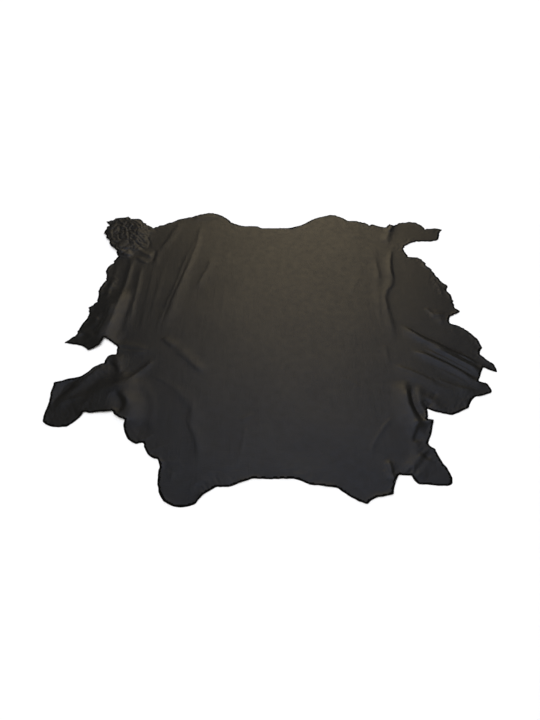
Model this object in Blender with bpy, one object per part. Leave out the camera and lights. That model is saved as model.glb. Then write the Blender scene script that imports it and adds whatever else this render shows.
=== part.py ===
# A whole leather hide laid out on a flat surface: one trimmed sheet with its shanks, belly edges and
# neck, the folds it keeps from storage, and one crumpled hind shank.
#
# Metres, +Z up. +Y runs along the backbone from the neck to the rump, and the origin lies under the
# middle of the hide, on the surface that it rests on.

import bpy
import numpy as np
from mathutils import Vector, noise
from mathutils.geometry import delaunay_2d_cdt

CM = 0.01
MM = 0.001

THICKNESS = 1.6 * MM  # four-ounce leather
EDGE_STEP = 2.4 * CM  # longest run between two points of the cut edge
EDGE_WAVE = 0.25 * CM  # how far the knife wandered to either side
EDGE_WAVE_LENGTH = 6.0 * CM
EDGE_MARGIN = 1.1 * CM  # clear width kept inside the edge, so that no triangle there is a sliver

FOLD_STEP = 3.2 * CM  # between points along a fold
FOLD_END = 0.22  # share of a fold's length over which it dies away at each end
FOLD_ROWS = (0.0, 0.55, -0.55, 1.0, -1.0)  # where its points stand, as shares of its left or right reach
FOLD_CLEARANCE = 1.5 * CM  # least gap to the points of the folds before it
CRUMPLE_STEP = 2.1 * CM
CRUMPLE_CLEARANCE = 1.6 * CM
OPEN_STEP = 11.0 * CM  # where the hide lies flat
OPEN_CLEARANCE = 5.5 * CM
ROW_GAP = 0.87  # between the rows of an even triangular grid, in its own steps

COLOUR = (0.026, 0.023, 0.021, 1.0)
ROUGHNESS = 0.5

# The trimmed edge, clockwise from above, in stretches. Each row is one run of the edge.
# Columns: across (cm to the right of the backbone), along (cm from the middle towards the rump),
# bow (cm by which the run to the next row's place arches outwards, or inwards when below zero).
EDGE = {
    "rump, left": (
        (-82.0, 97.6, 0.5),
        (-70.0, 105.0, 0.9),
        (-57.0, 111.5, 0.8),
        (-46.0, 116.6, 0.4),
        (-41.0, 115.9, 1.3),
        (-29.5, 105.0, -1.0),
        (-19.5, 100.4, 0.1),
        (-11.5, 100.2, -0.3),
    ),
    "rump, right": (
        (-8.0, 97.7, 0.0),
        (12.0, 97.7, -0.9),
        (27.5, 109.2, 0.5),
        (38.5, 114.1, 0.3),
        (43.0, 114.0, 0.5),
        (51.0, 106.6, 0.1),
        (56.0, 106.6, 0.3),
        (65.0, 101.0, 0.0),
        (66.8, 102.5, 0.2),
        (70.5, 100.2, 0.0),
        (76.4, 99.0, 0.0),
    ),
    "hind shank, right": (
        (78.6, 101.6, -0.4),
        (81.0, 100.2, 0.3),
        (87.0, 104.1, 0.2),
        (94.5, 105.4, 0.5),
        (100.6, 100.2, 0.0),
        (101.8, 96.3, 0.2),
        (109.0, 97.8, 0.3),
        (113.0, 95.6, 0.0),
        (110.2, 91.0, 0.2),
        (108.5, 83.5, 0.2),
        (104.4, 82.4, -0.4),
        (90.0, 80.2, -1.6),
        (84.0, 71.0, -0.6),
    ),
    "belly, right": (
        (86.0, 65.0, -0.3),
        (91.7, 63.2, 0.9),
        (95.4, 54.5, 0.4),
        (99.6, 44.4, -0.9),
        (104.3, 34.6, 0.0),
        (103.2, 29.5, 0.4),
        (104.6, 22.0, -0.3),
        (104.2, 14.0, 0.0),
        (106.2, 10.6, 0.3),
        (100.4, 7.2, -0.7),
        (98.4, 0.4, -0.4),
        (102.0, -0.8, 0.4),
        (108.4, -7.6, 0.9),
        (111.8, -19.4, -0.5),
        (109.2, -24.4, -0.4),
        (114.4, -31.4, 0.4),
        (114.7, -37.2, 0.3),
        (108.8, -34.3, -0.4),
    ),
    "fore shank, right": (
        (103.8, -44.0, -0.3),
        (107.4, -45.3, 0.5),
        (108.4, -51.4, 0.6),
        (99.6, -54.4, -0.5),
        (94.3, -62.0, 0.2),
        (85.0, -66.2, 0.5),
        (74.2, -62.4, 0.0),
        (73.2, -69.0, 0.0),
    ),
    "neck, right": (
        (75.6, -69.9, 0.4),
        (71.4, -82.0, -0.4),
        (71.4, -85.0, 0.0),
        (73.2, -86.4, 0.0),
        (75.2, -94.6, 0.5),
        (77.7, -102.4, 1.0),
        (75.2, -106.3, 0.2),
        (62.4, -105.2, 0.3),
        (59.8, -101.1, -0.2),
        (54.4, -100.9, -0.5),
        (50.7, -110.4, 0.2),
        (43.2, -112.2, -0.3),
        (38.7, -115.5, 0.3),
        (31.0, -111.2, 0.0),
        (27.0, -107.6, -0.2),
        (15.4, -105.8, 0.0),
    ),
    "neck, left": (
        (8.0, -102.5, 0.2),
        (-10.0, -102.6, 0.0),
        (-20.0, -106.6, 0.2),
        (-26.4, -106.9, -0.6),
        (-34.4, -114.9, 0.8),
        (-42.0, -117.0, 0.8),
        (-49.2, -112.9, 0.6),
        (-52.3, -104.0, 0.2),
        (-52.2, -96.6, 0.0),
        (-54.0, -92.4, 0.3),
        (-58.6, -89.2, 0.3),
        (-61.6, -83.2, -0.3),
        (-64.8, -83.6, 0.8),
        (-70.8, -78.0, 0.6),
        (-72.6, -70.0, 0.8),
    ),
    "fore shank, left": (
        (-79.4, -64.4, 0.2),
        (-93.2, -65.0, 0.5),
        (-99.6, -73.3, 0.2),
        (-106.4, -73.5, 0.5),
        (-111.6, -70.6, 0.5),
        (-111.9, -58.0, 0.2),
        (-112.3, -45.4, 0.3),
        (-100.0, -40.2, -0.4),
        (-95.4, -33.6, 0.3),
        (-90.0, -30.9, 0.2),
        (-88.6, -25.2, 0.4),
        (-85.0, -24.2, -0.2),
        (-85.1, -18.6, -0.2),
    ),
    "belly, left": (
        (-93.3, -12.0, 0.0),
        (-94.7, -17.6, 0.2),
        (-100.2, -21.5, -0.3),
        (-105.0, -17.8, 0.0),
        (-114.5, -15.3, 0.2),
        (-109.2, -8.6, 0.6),
        (-107.4, 2.0, -0.3),
        (-106.2, 9.2, 0.0),
        (-108.2, 13.8, 0.2),
        (-103.8, 19.4, 0.0),
        (-104.7, 25.0, -0.3),
        (-105.0, 33.2, 0.2),
        (-102.6, 40.0, -0.2),
        (-104.2, 49.5, 0.5),
        (-101.8, 58.0, 0.2),
    ),
    "hind shank, left": (
        (-99.3, 65.2, -0.3),
        (-104.4, 73.6, 0.8),
        (-109.4, 82.4, 0.4),
        (-112.9, 92.0, 0.4),
        (-112.6, 98.2, 0.0),
        (-111.3, 99.8, -0.2),
        (-114.8, 105.4, 0.3),
        (-110.2, 107.0, 0.0),
        (-108.3, 110.3, 0.2),
        (-104.6, 109.3, 0.0),
        (-100.8, 110.3, 0.2),
        (-98.0, 108.1, -0.2),
        (-92.4, 107.8, 0.3),
        (-87.0, 101.0, 0.3),
    ),
}

# The folds. Each is a ridge whose crest runs through the places given, as (across, along) in cm.
# Columns: crest, height (mm), left reach and right reach (cm from the crest to the fold's foot on
# that hand of someone who walks along the crest).
FOLDS = {
    "saddle fold, left": (((-63.5, -10), (-60.8, 8), (-58.4, 25), (-50, 104)), 2.4, 2.8, 6.0),
    "inner fold, left": (((-48, 28), (-44.6, 43), (-41.4, 53), (-39.8, 66)), 1.4, 3.0, 5.0),
    "rump fold, left": (((-73.5, 70), (-69.5, 82), (-66.5, 92), (-64.5, 106)), 1.8, 2.4, 4.0),
    "rump curl": (((-56, 110), (-45, 112), (-36, 112)), 4, 4.5, 4.0),
    "stifle slit": (((-74.5, 54), (-75.5, 63), (-74.5, 74)), 2, 2.0, 3.6),
    "hock crease, upper": (((-93, 71.5), (-85, 69), (-78, 63)), 2.6, 2.4, 2.4),
    "hock crease, lower": (((-92, 63.5), (-85, 63), (-79, 60)), 2, 2.0, 2.4),
    "hock overhang": (((-109, 77), (-98, 72), (-89, 73.5), (-83, 80)), 3, 4.0, 2.0),
    "belly ridge, lower": (((-95.5, -30), (-93.2, -8), (-92, 6), (-91, 18), (-90.5, 34)), 12, 13.0, 10.0),
    "belly ridge, upper": (((-91, 12), (-90.3, 30), (-90.3, 48), (-90.2, 61), (-93, 72)), 3, 2.6, 2.8),
    "belly flap, left": (((-104, -8), (-102, 8), (-99, 30), (-98, 46), (-98, 66)), 1.0, 4.5, 5.0),
    "flank fold, left": (((-83.4, -6), (-83.6, 14), (-83.8, 31), (-84, 48), (-84.2, 60)), 2, 2.4, 3.6),
    "bay fold, left": (((-98, -17), (-85, -17), (-75, -18.5), (-66, -23)), 3, 3.4, 2.8),
    "elbow fold, left": (((-77, -46), (-73, -40), (-68.8, -35.5), (-64.5, -28)), 2, 2.4, 3.6),
    "shoulder fold, left": (((-63, -10), (-57, -15.5), (-51, -21.5), (-36.5, -39.5)), 1.7, 5.4, 2.4),
    "neck fold, left": (((-35, -97), (-36, -86), (-40, -72), (-41, -62), (-55, -44)), 1.3, 2.4, 5.4),
    "fore shank root, left": (((-72, -76), (-71.5, -62), (-74.5, -54.5), (-84, -40)), 12, 30.0, 14.0),
    "fore shank fold, left": (((-110, -64), (-104, -53), (-94.5, -37), (-89, -28)), 5, 2.4, 6.4),
    "fore shank corner, left": (((-112.5, -62), (-112.5, -47), (-101, -41)), 8, 3.0, 6.0),
    "fore shank hollow, left": (((-79.5, -44), (-81, -35), (-84.5, -23)), 3, 4.6, 6.0),
    "saddle fold, right": (((65, -18), (65, 14), (65.6, 26), (71, 40), (71.8, 54), (74, 76)), 2.8, 4.6, 2.2),
    "inner fold, right": (((60, 2), (61.4, 26), (63.3, 46), (64, 62), (63, 78)), 1.5, 4.0, 2.4),
    "rump fold, right": (((59, 84), (50.5, 96), (45.5, 116)), 2, 5.0, 3.2),
    "hind shank root, right": (((73.5, 79), (76, 89.5), (78.6, 96), (80, 106)), 4.6, 4.6, 2.6),
    "belly bump, right": (((95, -1), (92, 13)), 3, 3.8, 5.0),
    "armpit fold, first": (((69, -1), (78, -10), (90, -20), (99, -30), (113, -44)), 5, 2.2, 4.0),
    "armpit fold, second": (((83, -17), (93, -26.5), (101, -34.5), (110, -43)), 3.6, 2.2, 2.8),
    "armpit fold, third": (((75, -21), (88, -31.5), (97, -39.5), (108, -50)), 5.4, 2.2, 4.2),
    "armpit fold, fourth": (((62, -35), (76, -43.5), (88, -49), (104, -51)), 2.6, 2.8, 5.0),
    "shoulder crease, right": (((70, -80), (66.5, -67), (65.4, -57), (67, -43)), 10, 8.0, 2.0),
    "shoulder rib, right": (((73.5, -72), (71.2, -60), (72.5, -46)), 6, 2.2, 3.0),
    "elbow rib, right": (((81, -65), (75, -52)), 3, 2.5, 3.8),
    "neck tuck, right": (((64, -91), (66, -79), (73, -69.5)), 2, 3.6, 2.2),
    "throat rib, outer": (((58, -104.5), (60.4, -100), (67.6, -90.6), (73, -84)), 2.8, 2.2, 2.2),
    "throat rib, inner": (((53, -104), (56.2, -99.6), (63.2, -90.4), (67, -84)), 2.0, 2.2, 2.0),
    "throat knot": (((50.2, -106), (50.7, -101.5), (51, -98.8), (54.5, -92.5)), 2.8, 3.0, 2.2),
}

# The hind shank that is crushed into small curling ridges.
CRUMPLE = {
    "middle": (-100.0 * CM, 91.0 * CM),
    "reach": (17.5 * CM, 25.0 * CM),  # across, along
    "fading": 0.45,  # share of its reach over which it dies away
    "mound": 8.0 * MM,  # how high the crushed part stands as a whole
    "ridge": 4.6 * MM,  # how high its ridges stand over that
    "ridge spacing": (4.6 * CM, 7.4 * CM),  # across, along: the ridges run mostly along the hide
    "narrowness": 2.4,  # how steeply a ridge falls from its crest
    "twist": 1.1,  # how strongly they curl, in ridge spacings
    "bend": 1.7,  # ridge spacings over which the curl changes
}

# The layers of a noise that are read side by side, far enough apart to have nothing in common
EDGE_LAYERS = Vector((0.0, 0.0, 0.0)), Vector((0.0, 0.0, 10.0))
CURL_LAYERS = Vector((0.0, 0.0, 3.0)), Vector((7.0, 3.0, 3.0))


def eased(share):
    """Rises from 0 to 1, level at both ends."""
    share = np.clip(share, 0.0, 1.0)
    return share * share * (3.0 - 2.0 * share)


def edge_outline():
    """The cut edge as an N x 2 array, clockwise, with the middle of its box at the origin."""
    rows = np.array([row for stretch in EDGE.values() for row in stretch]) * CM
    points = []
    for (x, y, bow), (next_x, next_y, _) in zip(rows, np.roll(rows, -1, axis=0)):
        run = np.array((next_x - x, next_y - y))
        length = np.linalg.norm(run)
        outwards = np.array((-run[1], run[0])) / length
        pieces = int(np.ceil(length / EDGE_STEP))
        for share in np.arange(pieces) / pieces:
            points.append((x, y) + run * share + outwards * bow * 4.0 * share * (1.0 - share))
    wave = [
        [noise.noise(Vector((x, y, 0.0)) / EDGE_WAVE_LENGTH + layer) for layer in EDGE_LAYERS]
        for x, y in points
    ]
    outline = np.array(points) + EDGE_WAVE * np.array(wave)
    return outline - (outline.min(axis=0) + outline.max(axis=0)) / 2.0


def crest_line(places):
    """A smooth line of short steps through a fold's places."""
    given = np.array(places) * CM
    ends = 2.0 * given[0] - given[1], 2.0 * given[-1] - given[-2]
    through = np.vstack((ends[0], given, ends[1]))
    line = []
    for before, start, stop, after in zip(through, through[1:], through[2:], through[3:]):
        pieces = max(2, round(np.linalg.norm(stop - start) / FOLD_STEP))
        for share in np.arange(pieces) / pieces:
            line.append(
                0.5
                * (
                    2.0 * start
                    + (stop - before) * share
                    + (2.0 * before - 5.0 * start + 4.0 * stop - after) * share**2
                    + (3.0 * start - before - 3.0 * stop + after) * share**3
                )
            )
    line.append(given[-1])
    return np.array(line)


def left_hand(line):
    """The unit vector to the left at each point of a line."""
    ahead = np.gradient(line, axis=0)
    ahead /= np.linalg.norm(ahead, axis=1)[:, None]
    return np.column_stack((-ahead[:, 1], ahead[:, 0]))


def along_and_aside(points, line):
    """For each point, how far along the line its nearest place is, as a share, and how far to the left."""
    starts = line[:-1]
    runs = line[1:] - starts
    lengths = np.linalg.norm(runs, axis=1)
    away = points[:, None, :] - starts[None, :, :]
    share = np.clip((away * runs).sum(axis=2) / lengths**2, 0.0, 1.0)
    gap = away - share[..., None] * runs
    distance = np.linalg.norm(gap, axis=2)
    nearest = distance.argmin(axis=1)
    pick = np.arange(len(points)), nearest
    side = runs[nearest, 0] * gap[pick][:, 1] - runs[nearest, 1] * gap[pick][:, 0]
    before = np.concatenate(((0.0,), np.cumsum(lengths)))
    along = (before[nearest] + share[pick] * lengths[nearest]) / before[-1]
    return along, np.where(side >= 0.0, distance[pick], -distance[pick])


def fold_height(points, fold):
    crest, height, left, right = fold
    along, aside = along_and_aside(points, crest_line(crest))
    reach = np.where(aside >= 0.0, left, right) * CM
    ends = eased(np.minimum(along, 1.0 - along) / FOLD_END)
    return height * MM * ends * eased(1.0 - np.abs(aside) / reach)


def crumple_share(points):
    """1 in the middle of the crumpled shank, 0 outside it."""
    away = (points - np.array(CRUMPLE["middle"])) / np.array(CRUMPLE["reach"])
    return eased((1.0 - np.linalg.norm(away, axis=1)) / CRUMPLE["fading"])


def crumple_height(points):
    """Curling ridges: the crests stand where a twisted noise crosses zero."""
    heights = np.zeros(len(points))
    share = crumple_share(points)
    for index in np.flatnonzero(share):
        across, along = points[index] / np.array(CRUMPLE["ridge spacing"])
        bend = Vector((across, along, 0.0)) / CRUMPLE["bend"]
        curl = [CRUMPLE["twist"] * noise.noise(bend + layer) for layer in CURL_LAYERS]
        fall = abs(noise.noise(Vector((across + curl[0], along + curl[1], 0.0))))
        ridge = 1.0 - min(1.0, CRUMPLE["narrowness"] * fall)
        heights[index] = share[index] * (CRUMPLE["mound"] + CRUMPLE["ridge"] * ridge)
    return heights


def relief(points):
    """How high the underside stands over the surface that the hide lies on."""
    height = crumple_height(points)
    for fold in FOLDS.values():
        height += fold_height(points, fold)
    return height


def inside(points, outline):
    """True where a point is within the outline by the margin."""
    ends = np.roll(outline, -1, axis=0)
    x, y = points[:, 0][:, None], points[:, 1][:, None]
    crosses = (outline[:, 1] > y) != (ends[:, 1] > y)
    rise = np.where(ends[:, 1] == outline[:, 1], 1.0, ends[:, 1] - outline[:, 1])
    at = outline[:, 0] + (y - outline[:, 1]) * (ends[:, 0] - outline[:, 0]) / rise
    within = (crosses & (x < at)).sum(axis=1) % 2 == 1
    closed = np.vstack((outline, outline[:1]))
    return within & (np.abs(along_and_aside(points, closed)[1]) > EDGE_MARGIN)


def fold_points():
    """Rows of points along each fold, the crests first."""
    for row in FOLD_ROWS:
        for crest, _, left, right in FOLDS.values():
            line = crest_line(crest)
            reach = left if row > 0.0 else right
            yield from line + left_hand(line) * row * reach * CM


def staggered(step, low, high):
    """A grid of points whose every second row is moved by half a step."""
    for row, y in enumerate(np.arange(low[1], high[1], step * ROW_GAP)):
        for x in np.arange(low[0] + step * 0.5 * (row % 2), high[0], step):
            yield (x, y)


def inner_points(outline):
    """Points inside the hide: close along the folds and the crumple, far apart where it lies flat."""
    low, high = outline.min(axis=0), outline.max(axis=0)
    crumple = np.array(list(staggered(CRUMPLE_STEP, low, high)))
    layers = (
        (crumple[crumple_share(crumple) > 0.0], CRUMPLE_CLEARANCE),
        (np.array(list(fold_points())), FOLD_CLEARANCE),
        (np.array(list(staggered(OPEN_STEP, low, high))), OPEN_CLEARANCE),
    )
    kept = np.zeros((0, 2))
    for points, clearance in layers:
        for point in points[inside(points, outline)]:
            if not len(kept) or np.linalg.norm(kept - point, axis=1).min() > clearance:
                kept = np.vstack((kept, point))
    return kept


def make_material():
    material = bpy.data.materials.new("black leather")
    material.use_nodes = True
    shader = material.node_tree.nodes["Principled BSDF"]
    shader.inputs["Base Color"].default_value = COLOUR
    shader.inputs["Roughness"].default_value = ROUGHNESS
    return material


def make_hide():
    outline = edge_outline()
    points = np.vstack((outline, inner_points(outline)))
    count = len(outline)
    rim = [(index, (index + 1) % count) for index in range(count)]
    flat, _, faces, *_ = delaunay_2d_cdt([Vector(point) for point in points], rim, [], 1, 1e-7)
    places = np.array([tuple(point) for point in flat])
    heights = relief(places)

    mesh = bpy.data.meshes.new("hide")
    mesh.from_pydata(np.column_stack((places, heights)).tolist(), [], faces)
    mesh.materials.append(make_material())
    mesh.shade_smooth()
    hide = bpy.data.objects.new("hide", mesh)
    bpy.context.scene.collection.objects.link(hide)

    solidify = hide.modifiers.new("thickness", "SOLIDIFY")
    solidify.thickness = THICKNESS
    solidify.offset = 1.0  # upwards, so that the underside stays where it is
    hide.modifiers.new("shading", "WEIGHTED_NORMAL")  # keeps the thin rim from darkening the grain side
    return hide


for old in list(bpy.data.objects):
    bpy.data.objects.remove(old)
make_hide()
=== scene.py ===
# A whole black leather hide laid out on a plain floor, seen from its neck end.
# Metres, +Z up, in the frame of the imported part: +Y runs along the backbone from neck to rump.

import math

import bmesh
import bpy
import numpy as np
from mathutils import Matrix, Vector, noise
from mathutils.bvhtree import BVHTree
from mathutils.geometry import delaunay_2d_cdt
from mathutils.kdtree import KDTree


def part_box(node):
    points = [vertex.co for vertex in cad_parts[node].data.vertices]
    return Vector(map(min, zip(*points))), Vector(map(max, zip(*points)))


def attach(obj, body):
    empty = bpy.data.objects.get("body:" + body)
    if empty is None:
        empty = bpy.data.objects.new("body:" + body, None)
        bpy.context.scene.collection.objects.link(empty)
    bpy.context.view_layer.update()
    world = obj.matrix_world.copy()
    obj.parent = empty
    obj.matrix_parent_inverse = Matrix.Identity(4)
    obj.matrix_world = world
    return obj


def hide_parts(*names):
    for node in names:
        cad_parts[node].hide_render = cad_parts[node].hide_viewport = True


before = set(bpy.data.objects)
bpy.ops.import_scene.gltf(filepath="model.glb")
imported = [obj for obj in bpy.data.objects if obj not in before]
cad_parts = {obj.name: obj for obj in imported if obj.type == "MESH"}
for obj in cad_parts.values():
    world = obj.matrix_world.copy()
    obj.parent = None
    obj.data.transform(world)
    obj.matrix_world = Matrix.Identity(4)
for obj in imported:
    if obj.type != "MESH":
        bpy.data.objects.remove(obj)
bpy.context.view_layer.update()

print("packed hide loaded")

cm = 0.01
mm = 0.001

# The camera

camera = {
    "place": (-0.028, -2.527, 2.245),  # metres: a step and a half out from the neck, above head height
    "tilt": 45.0,  # degrees down from level
    "lens": 30.0,  # mm
    "sensor": 36.0,  # mm, along the picture's long side
}


def makeCamera():
    data = bpy.data.cameras.new("camera")
    data.lens = camera["lens"]
    data.sensor_width = camera["sensor"]
    obj = bpy.data.objects.new("camera", data)
    obj.location = camera["place"]
    obj.rotation_euler = (math.radians(90.0 - camera["tilt"]), 0.0, 0.0)
    bpy.context.scene.collection.objects.link(obj)
    bpy.context.scene.camera = obj


makeCamera()
print("camera placed")

# The hide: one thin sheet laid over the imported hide's own folds

hide = {
    "thickness": 1.6,  # mm, four-ounce leather
    "edgeStep": 4.0,  # mm between points along the cut edge
    "foldStep": 7.5,  # mm between points in the folds
    "openStep": 17.0,  # mm between points where it lies flat
    "foldSlope": 0.02,  # rise over run beyond which a place counts as a fold
    "creaseRoom": 2.2,  # widths of a crease within which the points stand close
    "edgeRoom": 60.0,  # mm in from the cut within which they stand close
    "clearance": 0.65,  # steps between points of different layers
    "soundStep": 6.0,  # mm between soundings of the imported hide
    "softness": 9.0,  # mm over which its facets are smoothed away
    "crumpleSoftness": 6.0,  # mm, less in the crumpled shank, whose ridges are narrow
    "skive": 9.0,  # mm over which the leather thins towards the cut
    "edgeThickness": 0.35,  # share of the thickness that is left at the cut
    "edgeShadeWidth": 7.0,  # mm of the grain side beside the cut that is painted black, as the shade along the edge
    "rubbedRise": 4.0,  # mm over its surroundings at which a crest is fully rubbed
    "surroundings": 27.0,  # mm over which those are averaged
    "hardEdge": 55.0,  # degrees between faces beyond which an edge isn't smoothed
    "weld": 0.01,  # mm within which corners are one
}

# The knife wandered, and nicked the thin skin. Columns: to either side (mm), along the cut (mm)
knife = (
    (9.0, 46.0),
    (6.5, 18.0),
)
evenKnife = 0.25  # share of that along the thicker skin of rump, neck and forelegs, which cuts evenly
crumpleKnife = 1.5  # times as much round the crumpled shank
thinSkin = (20.0, 60.0)  # cm from the backbone over which the skin turns thin
hindPart = (-25.0, 15.0)  # cm along the backbone over which the forequarter turns into the belly

# Broad swells that leather keeps after it has been rolled: wavelength (cm), height (mm)
swells = (
    (31.0, 1.5),
    (13.0, 0.8),
    (5.5, 0.3),
)

# The cut edge lifts off the floor here and there, as the thin skin of belly and shanks dries
ruffle = {
    "height": 4.0,  # mm
    "width": 3.0,  # cm in from the edge
    "wave": 9.0,  # cm along it
    "lifted": 0.2,  # share of the height by which it lifts on average
    "patchiness": 1.5,  # how clearly lifted and flat stretches differ
}

# Fine slanting puckers in the loose skin of belly and shanks, strongest at the edge
puckers = {
    "depth": 1.1,  # mm
    "width": 14.0,  # cm in from the edge
    "spacing": (1.9, 5.5),  # cm across and along each pucker
    "slant": 35.0,  # degrees from the backbone, leaning outwards on both flanks
    "patches": 24.0,  # cm between puckered patches
    "patchiness": 1.6,  # how clearly they stand apart
    "narrowness": 4.0,  # how steeply a pucker falls from its crest
}

# The belly flap left of the ridge is lumpy all over
lumps = {
    "middle": (-104.0, 18.0),  # cm
    "reach": (13.0, 48.0),  # cm, across and along
    "fading": 0.67,  # share of its reach over which it dies away
    "wave": 4.5,  # cm
    "height": 3.6,  # mm
    "rise": 0.5,  # share of the height by which the flap stands above the floor between them
}

# The crushed hind shank: finer curling grooves cut between rounded curls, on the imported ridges
crumple = {
    "middle": (-99.0, 89.0),  # cm
    "reach": (21.0, 27.0),  # cm, across and along
    "fading": 0.5,  # share of its reach over which it dies away
    "spacing": (3.2, 4.8),  # cm between grooves, across and along
    "depth": 4.2,  # mm
    "twist": 1.2,  # how strongly they curl, in spacings
    "bend": 1.8,  # spacings over which the curl changes
    "narrowness": 7.0,  # how narrow a groove is beside its spacing
}

# What all the creases share
creaseShape = {
    "fade": 0.22,  # share of its length over which a crease dies away at each end
    "lean": 0.7,  # the crest stands this share of the narrower reach beside the line given
    "wander": 2.5,  # mm to either side
    "wanderWave": 6.0,  # cm
    "uneven": 0.5,  # share by which its height varies along it
    "unevenWave": 8.0,  # cm
    "step": 2.0,  # cm between the points of its line
    "room": 4.0,  # reaches beyond which it is flat
}
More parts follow.
